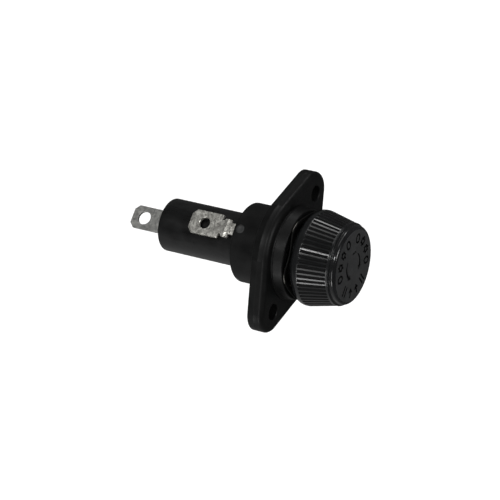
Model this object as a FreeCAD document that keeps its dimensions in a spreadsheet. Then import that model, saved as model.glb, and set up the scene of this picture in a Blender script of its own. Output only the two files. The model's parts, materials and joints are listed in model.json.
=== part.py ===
"""Panel-mounted cartridge fuse holder with a push-and-turn knob.

Millimetres. The origin is the centre of the flange's rear face, where it meets the panel.
+Y runs along the holder's axis to the rear terminals, -Y to the knob, +X along the flange's
long axis, and +Z is up, the side on which the side terminal lies.

Every size comes from the sheet called Sizes. A profile is a list of corners, each written as
two expressions in the sheet's own words, so the sketches follow the sheet. AXIS stands for a
coordinate that lies on the holder's axis.
"""
import FreeCAD, Part
import math
import os
import re

import Sketcher

os.makedirs("parts", exist_ok=True)
doc = FreeCAD.newDocument("fuse_holder")

# ------------------------------------------------------------------ driving dimensions

SIZES = {
    # Housing: flange, panel sleeve behind it and collar in front of it.
    "flange_thick": 4.7,
    "flange_belly_radius": 15.4,
    "flange_lobe_radius": 6.0,
    "screw_spacing": 34.93,
    "screw_hole_radius": 2.25,
    "flange_round": 1.4,
    "sleeve_radius": 11.1,
    "sleeve_rear": 9.35,
    "sleeve_round": 0.45,
    "collar_base_radius": 12.9,
    "collar_front_radius": 12.45,
    "collar_front": -7.9,
    "collar_round": 0.35,
    "mouth_radius": 10.2,
    "mouth_floor": -5.6,
    "shell_bore_radius": 9.35,
    "shell_bore_rear": 7.15,
    "lug_slot_half_width": 1.7,
    "lug_slot_low": 8.2,
    "lug_slot_high": 9.18,
    "gate_mark_radius": 1.2,
    "gate_mark_along": 7.4,
    "gate_mark_depth": 0.15,
    # Rear barrel, which holds the fuse and the rear contact.
    "fit_gap": 0.02,
    "barrel_radius": 7.45,
    "barrel_front": 5.8,
    "barrel_rear": 34.7,
    "barrel_round": 0.6,
    "barrel_bore_radius": 5.35,
    "barrel_lead_in": 0.6,
    "plunger_bore_radius": 5.6,
    "plunger_bore_front": 16.0,
    "plunger_bore_rear": 32.5,
    "rear_recess_radius": 5.2,
    "rear_recess_floor": 33.8,
    "blade_slot_gap": 0.05,
    # Bayonet shell: the front contact, with three nibs that the knob locks behind.
    "shell_radius": 9.3,
    "shell_wall": 0.5,
    "shell_rear": 6.3,
    "shell_flange_radius": 7.6,
    "nib_tip_radius": 7.5,
    "nib_root_radius": 9.0,
    "nib_half_width": 1.1,
    "nib_front": -5.4,
    "nib_thick": 0.9,
    "nib_count": 3,
    # Side terminal: a ring behind the shell with a lug that runs out over the barrel.
    "metal_thick": 0.8,
    "lug_ring_radius": 9.2,
    "lug_top": 9.1,
    "lug_neck_half_width": 1.6,
    "lug_bar_half_width": 2.6,
    "lug_bar_front": 11.6,
    "lug_bar_rear": 13.75,
    "lug_waist_half_width": 1.95,
    "lug_pad_front": 14.6,
    "lug_pad_rear": 24.1,
    "pad_half_width": 3.375,
    "pad_chamfer": 1.3,
    "lug_hole_radius": 1.6,
    "lug_hole_along": 19.5,
    # Rear terminal: a blade through the barrel's rear wall, its foot bent up inside.
    "blade_rear": 47.4,
    "blade_hole_radius": 1.93,
    "blade_hole_along": 43.5,
    "blade_foot_height": 4.4,
    "retainer_radius": 4.6,
    "retainer_thick": 0.5,
    # Rear contact: seat, spring and plunger.
    "seat_radius": 5.3,
    "seat_thick": 0.5,
    "seat_boss_radius": 3.2,
    "seat_boss_height": 0.8,
    "spring_wire": 0.8,
    "spring_mean_radius": 4.3,
    "spring_turns": 6,
    "plunger_radius": 5.45,
    "plunger_front": 20.45,
    "plunger_face": 0.7,
    "plunger_wall": 0.5,
    "plunger_skirt": 4.0,
    # Fuse, 10.3 by 38.1 mm (13/32 by 1-1/2 in).
    "fuse_front": -17.7,
    "fuse_length": 38.1,
    "cap_radius": 5.15,
    "cap_wall": 0.18,
    "cap_end": 0.6,
    "cap_length": 9.5,
    "cap_round": 0.4,
    "tube_radius": 4.95,
    "tube_bore_radius": 3.6,
    "element_half_width": 1.2,
    "element_half_thick": 0.12,
    "element_neck_radius": 0.75,
    "element_neck_pitch": 8.0,
    "element_neck_count": 3,
    "disc_thick": 0.6,
    "filler_gap": 0.05,
    # Knob: cap, stem, clip and rivet.
    "knob_rear": -9.9,
    "knob_rim_inner_radius": 10.2,
    "knob_rim_radius": 13.2,
    "knob_rim_length": 2.2,
    "knob_rim_round": 2.0,
    "knob_cone_front_radius": 11.3,
    "knob_cone_front": -20.9,
    "knob_ledge_radius": 10.85,
    "knob_ledge_slope": 0.2,
    "knob_face": -22.65,
    "knob_edge_round": 0.9,
    "knob_recess_floor": -11.6,
    "stem_radius": 8.3,
    "stem_bore_radius": 6.3,
    "stem_front": -16.2,
    "stem_rear": 0.0,
    "knob_cavity_front": -18.95,
    "flute_count": 60,
    "flute_radius": 0.42,
    "flute_depth": 0.34,
    "flute_rear": -12.7,
    "flute_front": -20.3,
    "channel_floor_radius": 7.2,
    "channel_half_width": 1.4,
    "channel_front": -6.9,
    "channel_rear": -4.4,
    "channel_sweep": 82.0,
    "clip_base_front": -18.9,
    "clip_thick": 0.4,
    "clip_radius": 5.65,
    "clip_flare_start": 0.5,
    "clip_flare_end": 3.4,
    "clip_flare_radius": 8.55,
    "clip_rear": 4.2,
    "clip_hole_radius": 1.05,
    "clip_slot_front": -13.0,
    "clip_slot_half_width": 0.4,
    "clip_notch_half_width": 1.6,
    "clip_notch_inner_radius": 6.2,
    "rivet_radius": 1.0,
    "rivet_front": -21.0,
    "rivet_head_radius": 1.9,
    "rivet_head_front": -18.45,
    "rivet_head_thick": 0.5,
    # Wave spring between the collar and the knob.
    "wave_inner_radius": 11.1,
    "wave_outer_radius": 12.3,
    "wave_thick": 0.3,
    "wave_count": 5,
    "wave_gap": 0.1,
}

sheet = doc.addObject("Spreadsheet::Sheet", "Sizes")
for row, (alias, number) in enumerate(SIZES.items(), start=1):
    sheet.set("A%d" % row, alias)
    sheet.set("B%d" % row, str(number))
    sheet.setAlias("B%d" % row, alias)
doc.recompute()

WORD = re.compile(r"[a-z][a-z_]*[a-z]")
AXIS = "0"


def bound(words):
    """An expression in the sheet's words, written the way the document binds it."""
    return WORD.sub(lambda match: "Sizes." + match.group(), words)


def size(words):
    """The value in millimetres of an expression in the sheet's words."""
    return float(sheet.evalExpression(bound(words)))


# ------------------------------------------------------------------ sketches and features


def new_body(name):
    body = doc.addObject("PartDesign::Body", name)
    body.Label = name
    return body


def origin_feature(body, role):
    return next(item for item in body.Origin.OriginFeatures if item.Role == role)


def new_sketch(body, name, plane, shift=None):
    """A sketch on one of the body's own origin planes, moved along its normal by shift."""
    sketch = body.newObject("Sketcher::SketchObject", body.Name + "_" + name)
    sketch.AttachmentSupport = [(origin_feature(body, plane), "")]
    sketch.MapMode = "FlatFace"
    if shift is not None:
        sketch.setExpression("AttachmentOffset.Base.z", bound(shift))
    return sketch


def pin_corner(sketch, index, corner, end):
    """Fix one end of an edge at the corner, each coordinate bound to the sheet."""
    for kind, words in (("DistanceX", corner[0]), ("DistanceY", corner[1])):
        axis = -2 if kind == "DistanceX" else -1
        if abs(size(words)) < 1e-9:
            sketch.addConstraint(Sketcher.Constraint("PointOnObject", index, end, axis))
            continue
        number = sketch.addConstraint(Sketcher.Constraint(kind, -1, 1, index, end, size(words)))
        sketch.setExpression("Constraints[%d]" % number, bound(words))


def add_outline(sketch, corners):
    """A closed outline of straight edges through the corners."""
    points = [FreeCAD.Vector(size(c[0]), size(c[1]), 0) for c in corners]
    first = sketch.GeometryCount
    for here, after in zip(points, points[1:] + points[:1]):
        sketch.addGeometry(Part.LineSegment(here, after), False)
    for step, corner in enumerate(corners):
        edge = first + step
        before = first + (step - 1) % len(corners)
        sketch.addConstraint(Sketcher.Constraint("Coincident", before, 2, edge, 1))
        pin_corner(sketch, edge, corner, 1)


def add_circle(sketch, centre, radius):
    middle = FreeCAD.Vector(size(centre[0]), size(centre[1]), 0)
    index = sketch.addGeometry(Part.Circle(middle, FreeCAD.Vector(0, 0, 1), size(radius)), False)
    pin_corner(sketch, index, centre, 3)
    number = sketch.addConstraint(Sketcher.Constraint("Radius", index, size(radius)))
    sketch.setExpression("Constraints[%d]" % number, bound(radius))


def box_corners(half_x, low_y, high_y):
    """The four corners of a rectangle that is symmetric about the sketch's vertical axis."""
    left = "-(" + half_x + ")"
    return [(left, low_y), (half_x, low_y), (half_x, high_y), (left, high_y)]


def revolve(body, name, corners, groove=False):
    """Turn an outline of (radius, along Y) corners about the holder's axis."""
    sketch = new_sketch(body, name, "XY_Plane")
    add_outline(sketch, corners)
    doc.recompute()
    kind = "PartDesign::Groove" if groove else "PartDesign::Revolution"
    feature = body.newObject(kind, body.Name + "_" + name + "_turn")
    feature.Profile = sketch
    feature.ReferenceAxis = (sketch, ["V_Axis"])
    feature.Angle = 360.0
    doc.recompute()
    return feature


def pad(body, sketch, length, reverse=False, both=False):
    feature = body.newObject("PartDesign::Pad", sketch.Name + "_pad")
    feature.Profile = sketch
    feature.setExpression("Length", bound(length))
    feature.Reversed = reverse
    feature.Midplane = both
    doc.recompute()
    return feature


def pocket(body, sketch, length=None, reverse=False, both=False):
    """A cut from the sketch, checked so that it does take material away."""
    before = body.Shape.Volume
    feature = body.newObject("PartDesign::Pocket", sketch.Name + "_pocket")
    feature.Profile = sketch
    feature.Reversed = reverse
    feature.Midplane = both
    if length is None:
        feature.Type = "ThroughAll"
    else:
        feature.setExpression("Length", bound(length))
    doc.recompute()
    if body.Shape.Volume >= before - 1e-6:
        raise RuntimeError(feature.Name + " cuts nothing")
    return feature


def polar(body, feature, count):
    """Repeat a feature evenly about the holder's axis."""
    pattern = body.newObject("PartDesign::PolarPattern", feature.Name + "_ring")
    pattern.Originals = [feature]
    pattern.Axis = (origin_feature(body, "Y_Axis"), [""])
    pattern.Angle = 360.0
    pattern.setExpression("Occurrences", bound(count))
    body.Tip = pattern
    doc.recompute()
    return pattern


def round_edges(body, name, radius, wanted):
    """Fillet the edges of the tip that the test accepts."""
    base = body.Tip
    names = ["Edge%d" % (i + 1) for i, edge in enumerate(base.Shape.Edges) if wanted(edge)]
    if not names:
        raise RuntimeError(body.Name + " has no edge for " + name)
    fillet = body.newObject("PartDesign::Fillet", body.Name + "_" + name)
    fillet.Base = (base, names)
    fillet.setExpression("Radius", bound(radius))
    doc.recompute()
    return fillet


def ring_edge(radius, along):
    """A test for the round edge of that radius about the axis, at that place along it."""
    def test(edge):
        curve = edge.Curve
        if not isinstance(curve, Part.Circle):
            return False
        same_radius = abs(curve.Radius - size(radius)) < 1e-3
        return same_radius and abs(curve.Center.y - size(along)) < 1e-3 and abs(curve.Axis.y) > 0.99
    return test


# ------------------------------------------------------------------ housing body

def flange_outline(sketch):
    """Belly arcs above and below, a lobe arc at each end, and the four tangent lines."""
    belly = size("flange_belly_radius")
    lobe = size("flange_lobe_radius")
    reach = size("screw_spacing / 2")
    lean = math.acos((belly - lobe) / reach)
    arcs = []
    for middle, words, radius, start, stop in (
            (0, AXIS, "flange_belly_radius", lean, math.pi - lean),
            (-reach, "-screw_spacing / 2", "flange_lobe_radius", math.pi - lean, math.pi + lean),
            (0, AXIS, "flange_belly_radius", math.pi + lean, 2 * math.pi - lean),
            (reach, "screw_spacing / 2", "flange_lobe_radius", -lean, lean)):
        circle = Part.Circle(FreeCAD.Vector(middle, 0, 0), FreeCAD.Vector(0, 0, 1), size(radius))
        arc = sketch.addGeometry(Part.ArcOfCircle(circle, start, stop), False)
        pin_corner(sketch, arc, (words, AXIS), 3)
        number = sketch.addConstraint(Sketcher.Constraint("Radius", arc, size(radius)))
        sketch.setExpression("Constraints[%d]" % number, bound(radius))
        arcs.append(arc)
    for here, after in zip(arcs, arcs[1:] + arcs[:1]):
        start = sketch.getPoint(here, 2)
        stop = sketch.getPoint(after, 1)
        line = sketch.addGeometry(Part.LineSegment(start, stop), False)
        sketch.addConstraint(Sketcher.Constraint("Tangent", here, 2, line, 1))
        sketch.addConstraint(Sketcher.Constraint("Tangent", line, 2, after, 1))


def make_housing_body():
    body = new_body("housing_body")
    outline = new_sketch(body, "flange", "XZ_Plane")
    flange_outline(outline)
    doc.recompute()
    pad(body, outline, "flange_thick")
    round_edges(body, "flange_front_round", "flange_round",
                lambda edge: all(abs(v.Point.y + size("flange_thick")) < 1e-6 for v in edge.Vertexes))
    revolve(body, "sleeve_and_collar", [
        (AXIS, "sleeve_rear"),
        ("sleeve_radius", "sleeve_rear"),
        ("sleeve_radius", "-flange_thick / 2"),
        ("collar_base_radius - flange_round", "-flange_thick / 2"),
        ("collar_base_radius", "-flange_thick"),
        ("collar_front_radius", "collar_front"),
        (AXIS, "collar_front")])
    revolve(body, "bores", [
        (AXIS, "collar_front"),
        ("mouth_radius", "collar_front"),
        ("mouth_radius", "mouth_floor"),
        ("shell_bore_radius", "mouth_floor"),
        ("shell_bore_radius", "shell_bore_rear"),
        ("barrel_radius + fit_gap", "shell_bore_rear"),
        ("barrel_radius + fit_gap", "sleeve_rear"),
        (AXIS, "sleeve_rear")], groove=True)
    screws = new_sketch(body, "screw_holes", "XZ_Plane")
    add_circle(screws, ("screw_spacing / 2", AXIS), "screw_hole_radius")
    add_circle(screws, ("-screw_spacing / 2", AXIS), "screw_hole_radius")
    doc.recompute()
    pocket(body, screws, reverse=True)
    slot = new_sketch(body, "lug_slot", "XZ_Plane")
    add_outline(slot, box_corners("lug_slot_half_width", "lug_slot_low", "lug_slot_high"))
    doc.recompute()
    pocket(body, slot)
    gate = new_sketch(body, "gate_mark", "XY_Plane", "sleeve_radius - gate_mark_depth")
    add_circle(gate, (AXIS, "gate_mark_along"), "gate_mark_radius")
    doc.recompute()
    pocket(body, gate, reverse=True)
    round_edges(body, "sleeve_rear_round", "sleeve_round", ring_edge("sleeve_radius", "sleeve_rear"))
    round_edges(body, "collar_front_round", "collar_round",
                ring_edge("collar_front_radius", "collar_front"))
    return body


def make_rear_barrel():
    body = new_body("rear_barrel")
    revolve(body, "wall", [
        ("barrel_bore_radius + barrel_lead_in", "barrel_front"),
        ("barrel_radius", "barrel_front"),
        ("barrel_radius", "barrel_rear"),
        ("rear_recess_radius", "barrel_rear"),
        ("rear_recess_radius", "rear_recess_floor"),
        (AXIS, "rear_recess_floor"),
        (AXIS, "plunger_bore_rear"),
        ("plunger_bore_radius", "plunger_bore_rear"),
        ("plunger_bore_radius", "plunger_bore_front"),
        ("barrel_bore_radius", "plunger_bore_front"),
        ("barrel_bore_radius", "barrel_front + barrel_lead_in")])
    slot = new_sketch(body, "blade_slot", "XZ_Plane")
    add_outline(slot, box_corners("pad_half_width + blade_slot_gap",
                                  "-metal_thick / 2 - blade_slot_gap",
                                  "metal_thick / 2 + blade_slot_gap"))
    doc.recompute()
    pocket(body, slot)
    round_edges(body, "rear_round", "barrel_round", ring_edge("barrel_radius", "barrel_rear"))
    return body


def make_bayonet_shell():
    body = new_body("bayonet_shell")
    revolve(body, "wall", [
        ("shell_radius - shell_wall", "mouth_floor"),
        ("shell_radius", "mouth_floor"),
        ("shell_radius", "shell_rear"),
        ("shell_flange_radius", "shell_rear"),
        ("shell_flange_radius", "shell_rear - shell_wall"),
        ("shell_radius - shell_wall", "shell_rear - shell_wall")])
    nib = new_sketch(body, "nib", "XZ_Plane", "-nib_front - nib_thick")
    add_outline(nib, box_corners("nib_half_width", "nib_tip_radius", "nib_root_radius"))
    doc.recompute()
    polar(body, pad(body, nib, "nib_thick"), "nib_count")
    return body


def make_side_terminal():
    body = new_body("side_terminal")
    revolve(body, "ring", [
        ("shell_flange_radius", "shell_rear"),
        ("lug_ring_radius", "shell_rear"),
        ("lug_ring_radius", "shell_rear + metal_thick"),
        ("shell_flange_radius", "shell_rear + metal_thick")])
    right = [
        ("lug_neck_half_width", "shell_rear"),
        ("lug_neck_half_width", "lug_bar_front"),
        ("lug_bar_half_width", "lug_bar_front"),
        ("lug_bar_half_width", "lug_bar_rear"),
        ("lug_waist_half_width", "lug_bar_rear"),
        ("lug_waist_half_width", "lug_pad_front"),
        ("pad_half_width", "lug_pad_front"),
        ("pad_half_width", "lug_pad_rear - pad_chamfer"),
        ("pad_half_width - pad_chamfer", "lug_pad_rear")]
    left = [("-(" + across + ")", along) for across, along in reversed(right)]
    strip = new_sketch(body, "strip", "XY_Plane", "lug_top - metal_thick")
    add_outline(strip, right + left)
    add_circle(strip, (AXIS, "lug_hole_along"), "lug_hole_radius")
    doc.recompute()
    pad(body, strip, "metal_thick")
    return body


def make_rear_terminal():
    body = new_body("rear_terminal")
    right = [
        ("pad_half_width", "plunger_bore_rear - metal_thick"),
        ("pad_half_width", "blade_rear - pad_chamfer"),
        ("pad_half_width - pad_chamfer", "blade_rear")]
    left = [("-(" + across + ")", along) for across, along in reversed(right)]
    blade = new_sketch(body, "blade", "XY_Plane")
    add_outline(blade, right + left)
    add_circle(blade, (AXIS, "blade_hole_along"), "blade_hole_radius")
    doc.recompute()
    pad(body, blade, "metal_thick", both=True)
    foot = new_sketch(body, "foot", "XZ_Plane", "-plunger_bore_rear")
    add_outline(foot, box_corners("pad_half_width", "-metal_thick / 2", "blade_foot_height"))
    doc.recompute()
    pad(body, foot, "metal_thick")
    return body


def make_rear_retainer():
    body = new_body("rear_retainer")
    disc = new_sketch(body, "disc", "XZ_Plane", "-rear_recess_floor - retainer_thick")
    add_circle(disc, (AXIS, AXIS), "retainer_radius")
    add_outline(disc, box_corners("pad_half_width + fit_gap", "-metal_thick / 2 - fit_gap",
                                  "metal_thick / 2 + fit_gap"))
    doc.recompute()
    pad(body, disc, "retainer_thick")
    return body


SEAT_REAR = "plunger_bore_rear - metal_thick"
SEAT_FRONT = SEAT_REAR + " - seat_thick"


def make_spring_seat():
    body = new_body("spring_seat")
    revolve(body, "disc", [
        (AXIS, SEAT_REAR),
        ("seat_radius", SEAT_REAR),
        ("seat_radius", SEAT_FRONT),
        ("seat_boss_radius", SEAT_FRONT),
        ("seat_boss_radius", SEAT_FRONT + " - seat_boss_height"),
        (AXIS, SEAT_FRONT + " - seat_boss_height")])
    return body


def make_wave_spring():
    """A flat ring bent into waves, so its four edges are closed curves."""
    count = int(size("wave_count"))
    low = size("collar_front - wave_gap - wave_thick")
    high = size("knob_rear + wave_gap + wave_thick")
    middle = (low + high) / 2
    swing = (low - high) / 2
    points_per_wave = 12

    def edge(radius, lift):
        points = []
        for step in range(count * points_per_wave):
            angle = 2 * math.pi * step / (count * points_per_wave)
            along = middle + lift + swing * math.cos(count * angle)
            points.append(FreeCAD.Vector(radius * math.cos(angle), along, radius * math.sin(angle)))
        curve = Part.BSplineCurve()
        curve.interpolate(points, PeriodicFlag=True)
        return curve.toShape()

    inner = size("wave_inner_radius")
    outer = size("wave_outer_radius")
    half = size("wave_thick") / 2
    edges = [edge(inner, -half), edge(outer, -half), edge(outer, half), edge(inner, half)]
    faces = [Part.makeRuledSurface(edges[i], edges[(i + 1) % 4]) for i in range(4)]
    solid = Part.Solid(Part.Shell(faces))
    if solid.Volume < 0:
        solid.reverse()
    feature = doc.addObject("Part::Feature", "wave_spring")
    feature.Label = "wave_spring"
    feature.Shape = solid
    return feature


# ------------------------------------------------------------------ rear contact

def make_contact_plunger():
    body = new_body("contact_plunger")
    revolve(body, "cup", [
        (AXIS, "plunger_front"),
        ("plunger_radius - plunger_wall", "plunger_front"),
        ("plunger_radius", "plunger_front + plunger_wall"),
        ("plunger_radius", "plunger_front + plunger_skirt"),
        ("plunger_radius - plunger_wall", "plunger_front + plunger_skirt"),
        ("plunger_radius - plunger_wall", "plunger_front + plunger_face"),
        (AXIS, "plunger_front + plunger_face")])
    return body


def make_contact_spring():
    body = new_body("contact_spring")
    wire = new_sketch(body, "wire", "XY_Plane")
    front = "plunger_front + plunger_face + spring_wire / 2 + fit_gap"
    rear = SEAT_FRONT + " - spring_wire / 2 - fit_gap"
    add_circle(wire, ("spring_mean_radius", front), "spring_wire / 2")
    doc.recompute()
    coil = body.newObject("PartDesign::AdditiveHelix", "contact_spring_coil")
    coil.Profile = wire
    coil.ReferenceAxis = (wire, ["V_Axis"])
    coil.Mode = "height-turns-angle"
    coil.setExpression("Height", bound("(" + rear + ") - (" + front + ")"))
    coil.setExpression("Turns", bound("spring_turns"))
    doc.recompute()
    return body


# ------------------------------------------------------------------ fuse

FUSE_REAR = "fuse_front + fuse_length"


def mirrored(corners, rear):
    """The same corners for the rear end of the fuse, counted forward from its rear face."""
    if not rear:
        return [(across, "fuse_front + " + inward) for across, inward in corners]
    return [(across, FUSE_REAR + " - (" + inward + ")") for across, inward in corners]


def make_fuse_cap(name, rear):
    body = new_body(name)
    revolve(body, "cup", mirrored([
        (AXIS, AXIS),
        ("cap_radius", AXIS),
        ("cap_radius", "cap_length"),
        ("cap_radius - cap_wall", "cap_length"),
        ("cap_radius - cap_wall", "cap_end"),
        (AXIS, "cap_end")], rear))
    face = FUSE_REAR if rear else "fuse_front"
    round_edges(body, "end_round", "cap_round", ring_edge("cap_radius", face))
    return body


def make_fuse_disc(name, rear):
    """The thin insulating disc between the cap's end and the tube, slit for the element."""
    body = new_body(name)
    revolve(body, "disc", mirrored([
        (AXIS, "cap_end"),
        ("tube_radius", "cap_end"),
        ("tube_radius", "cap_end + disc_thick"),
        (AXIS, "cap_end + disc_thick")], rear))
    slit = new_sketch(body, "slit", "XZ_Plane")
    add_outline(slit, box_corners("element_half_width + filler_gap",
                                  "-element_half_thick - filler_gap",
                                  "element_half_thick + filler_gap"))
    doc.recompute()
    pocket(body, slit, reverse=not rear)
    return body


def make_fuse_tube():
    body = new_body("fuse_tube")
    front = "fuse_front + cap_end + disc_thick"
    rear = FUSE_REAR + " - cap_end - disc_thick"
    revolve(body, "wall", [
        ("tube_bore_radius", front),
        ("tube_radius", front),
        ("tube_radius", rear),
        ("tube_bore_radius", rear)])
    return body


def make_fuse_element():
    body = new_body("fuse_element")
    middle = "fuse_front + fuse_length / 2"
    strip = new_sketch(body, "strip", "XY_Plane")
    add_outline(strip, box_corners("element_half_width", "fuse_front + cap_end",
                                   FUSE_REAR + " - cap_end"))
    for step in range(int(size("element_neck_count"))):
        offset = " + element_neck_pitch * (%d)" % (step - 1)
        add_circle(strip, (AXIS, middle + offset), "element_neck_radius")
    doc.recompute()
    pad(body, strip, "element_half_thick * 2", both=True)
    return body


def make_fuse_filler():
    """The packed sand in the tube, with room for the element through its middle."""
    body = new_body("fuse_filler")
    front = "fuse_front + cap_end + disc_thick + filler_gap"
    rear = FUSE_REAR + " - cap_end - disc_thick - filler_gap"
    revolve(body, "core", [
        (AXIS, front),
        ("tube_bore_radius - filler_gap", front),
        ("tube_bore_radius - filler_gap", rear),
        (AXIS, rear)])
    for name, reverse in (("slit_front", False), ("slit_rear", True)):
        slit = new_sketch(body, name, "XZ_Plane")
        add_outline(slit, box_corners("element_half_width + filler_gap",
                                      "-element_half_thick - filler_gap",
                                      "element_half_thick + filler_gap"))
        doc.recompute()
        pocket(body, slit, reverse=reverse)
    return body


# ------------------------------------------------------------------ knob

def make_fuse_clip():
    body = new_body("fuse_clip")
    inner = "clip_radius - clip_thick"
    flare_inner = "clip_flare_radius - clip_thick"
    revolve(body, "sheet", [
        ("clip_hole_radius", "clip_base_front"),
        ("clip_radius", "clip_base_front"),
        ("clip_radius", "clip_flare_start"),
        ("clip_flare_radius", "clip_flare_end"),
        ("clip_flare_radius", "clip_rear"),
        (flare_inner, "clip_rear"),
        (flare_inner, "clip_flare_end + clip_thick / 2"),
        (inner, "clip_flare_start + clip_thick / 2"),
        (inner, "clip_base_front + clip_thick"),
        ("clip_hole_radius", "clip_base_front + clip_thick")])
    slot = new_sketch(body, "slot", "XZ_Plane", "-clip_rear")
    add_outline(slot, box_corners("clip_slot_half_width", "clip_radius - clip_thick * 2",
                                  "clip_flare_radius + clip_thick"))
    doc.recompute()
    polar(body, pocket(body, slot, "clip_rear - clip_slot_front", reverse=True), "nib_count * 2")
    notch = new_sketch(body, "notch", "XZ_Plane", "-clip_rear")
    add_outline(notch, box_corners("clip_notch_half_width", "clip_notch_inner_radius",
                                   "clip_flare_radius + clip_thick"))
    doc.recompute()
    polar(body, pocket(body, notch, "clip_rear - clip_flare_start", reverse=True), "nib_count")
    return body


def make_clip_rivet():
    body = new_body("clip_rivet")
    head_rear = "rivet_head_front + rivet_head_thick"
    revolve(body, "shank_and_head", [
        (AXIS, "rivet_front"),
        ("rivet_radius", "rivet_front"),
        ("rivet_radius", "rivet_head_front"),
        ("rivet_head_radius", "rivet_head_front"),
        ("rivet_head_radius", head_rear),
        (AXIS, head_rear)])
    return body


def make_knob_stem():
    body = new_body("knob_stem")
    revolve(body, "tube", [
        ("stem_bore_radius", "stem_front + fit_gap"),
        ("stem_radius", "stem_front + fit_gap"),
        ("stem_radius", "stem_rear"),
        ("stem_bore_radius", "stem_rear")])
    entry = new_sketch(body, "entry", "XZ_Plane", "-stem_rear")
    add_outline(entry, box_corners("channel_half_width", "channel_floor_radius",
                                   "stem_radius + clip_thick"))
    doc.recompute()
    polar(body, pocket(body, entry, "stem_rear - channel_front", reverse=True), "nib_count")
    track = new_sketch(body, "track", "XY_Plane")
    add_outline(track, [
        ("channel_floor_radius", "channel_front"),
        ("stem_radius + clip_thick", "channel_front"),
        ("stem_radius + clip_thick", "channel_rear"),
        ("channel_floor_radius", "channel_rear")])
    doc.recompute()
    before = body.Shape.Volume
    groove = body.newObject("PartDesign::Groove", "knob_stem_track_turn")
    groove.Profile = track
    groove.ReferenceAxis = (track, ["V_Axis"])
    groove.setExpression("Angle", bound("channel_sweep"))
    groove.Midplane = True
    doc.recompute()
    if body.Shape.Volume >= before:
        raise RuntimeError("the bayonet track cuts nothing")
    polar(body, groove, "nib_count")
    return body


def make_knob_cap():
    body = new_body("knob_cap")
    revolve(body, "outside", [
        (AXIS, "knob_face"),
        ("knob_ledge_radius", "knob_face"),
        ("knob_ledge_radius", "knob_cone_front - knob_ledge_slope"),
        ("knob_cone_front_radius", "knob_cone_front"),
        ("knob_rim_radius", "knob_rear - knob_rim_length"),
        ("knob_rim_radius", "knob_rear"),
        ("knob_rim_inner_radius", "knob_rear"),
        ("knob_rim_inner_radius", "knob_recess_floor"),
        ("stem_radius + fit_gap", "knob_recess_floor"),
        ("stem_radius + fit_gap", "stem_front"),
        ("stem_bore_radius", "stem_front"),
        ("stem_bore_radius", "knob_cavity_front"),
        ("rivet_radius", "knob_cavity_front"),
        ("rivet_radius", "rivet_front"),
        (AXIS, "rivet_front")])
    round_edges(body, "face_round", "knob_edge_round", ring_edge("knob_ledge_radius", "knob_face"))
    round_edges(body, "rim_round", "knob_rim_round", ring_edge("knob_rim_radius", "knob_rear"))
    make_flutes(body)
    return body


def make_flutes(body):
    """One groove down the cone, parallel to its side, repeated all the way round."""
    cone_rear = "knob_rear - knob_rim_length"
    cone_length = "(" + cone_rear + " - knob_cone_front)"
    taper = "(knob_rim_radius - knob_cone_front_radius) / " + cone_length
    at_rear = "knob_rim_radius - " + taper + " * (" + cone_rear + " - flute_rear)"
    flute = new_sketch(body, "flute", "XZ_Plane", "-flute_rear")
    add_circle(flute, (AXIS, at_rear + " + flute_radius - flute_depth"), "flute_radius")
    doc.recompute()
    before = body.Shape.Volume
    cut = body.newObject("PartDesign::Pocket", "knob_cap_flute_pocket")
    cut.Profile = flute
    cut.Reversed = False
    cut.UseCustomVector = True
    cut.Direction = FreeCAD.Vector(0, -1, -size(taper))
    cut.AlongSketchNormal = True
    cut.setExpression("Length", bound("flute_rear - flute_front"))
    doc.recompute()
    if body.Shape.Volume >= before:
        raise RuntimeError("the flute cuts nothing")
    polar(body, cut, "flute_count")


# ------------------------------------------------------------------ build, test and write

made = [
    make_housing_body(),
    make_rear_barrel(),
    make_bayonet_shell(),
    make_side_terminal(),
    make_rear_terminal(),
    make_rear_retainer(),
    make_spring_seat(),
    make_wave_spring(),
    make_contact_plunger(),
    make_contact_spring(),
    make_fuse_tube(),
    make_fuse_cap("fuse_cap_front", rear=False),
    make_fuse_cap("fuse_cap_rear", rear=True),
    make_fuse_disc("fuse_disc_front", rear=False),
    make_fuse_disc("fuse_disc_rear", rear=True),
    make_fuse_element(),
    make_fuse_filler(),
    make_fuse_clip(),
    make_clip_rivet(),
    make_knob_stem(),
    make_knob_cap(),
]
doc.recompute()

failed = [item.Name for item in doc.Objects if {"Invalid", "Error"} & set(item.State)]
if failed:
    raise RuntimeError("failed objects: " + ", ".join(failed))
for piece in made:
    shape = piece.Shape
    if shape.isNull() or not shape.isValid() or len(shape.Solids) != 1:
        raise RuntimeError(piece.Label + " is not one valid solid")
    shape.exportStep("parts/%s.step" % piece.Label)
    box = shape.BoundBox
    print("%-16s %9.2f mm3  X %7.2f %7.2f  Y %7.2f %7.2f  Z %7.2f %7.2f" % (
        piece.Label, shape.Volume, box.XMin, box.XMax, box.YMin, box.YMax, box.ZMin, box.ZMax))
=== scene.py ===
"""Looks of the panel-mounted cartridge fuse holder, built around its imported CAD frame.

Row frame: the flange's rear face is at Y = 0, +Y runs to the rear terminals, -Y to the knob,
+X along the flange's long axis and +Z up. Lengths below are in millimetres and are turned into
metres only where a mesh is written.
"""
import json
import math

import bmesh
import bpy
from mathutils import Matrix, Vector


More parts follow.
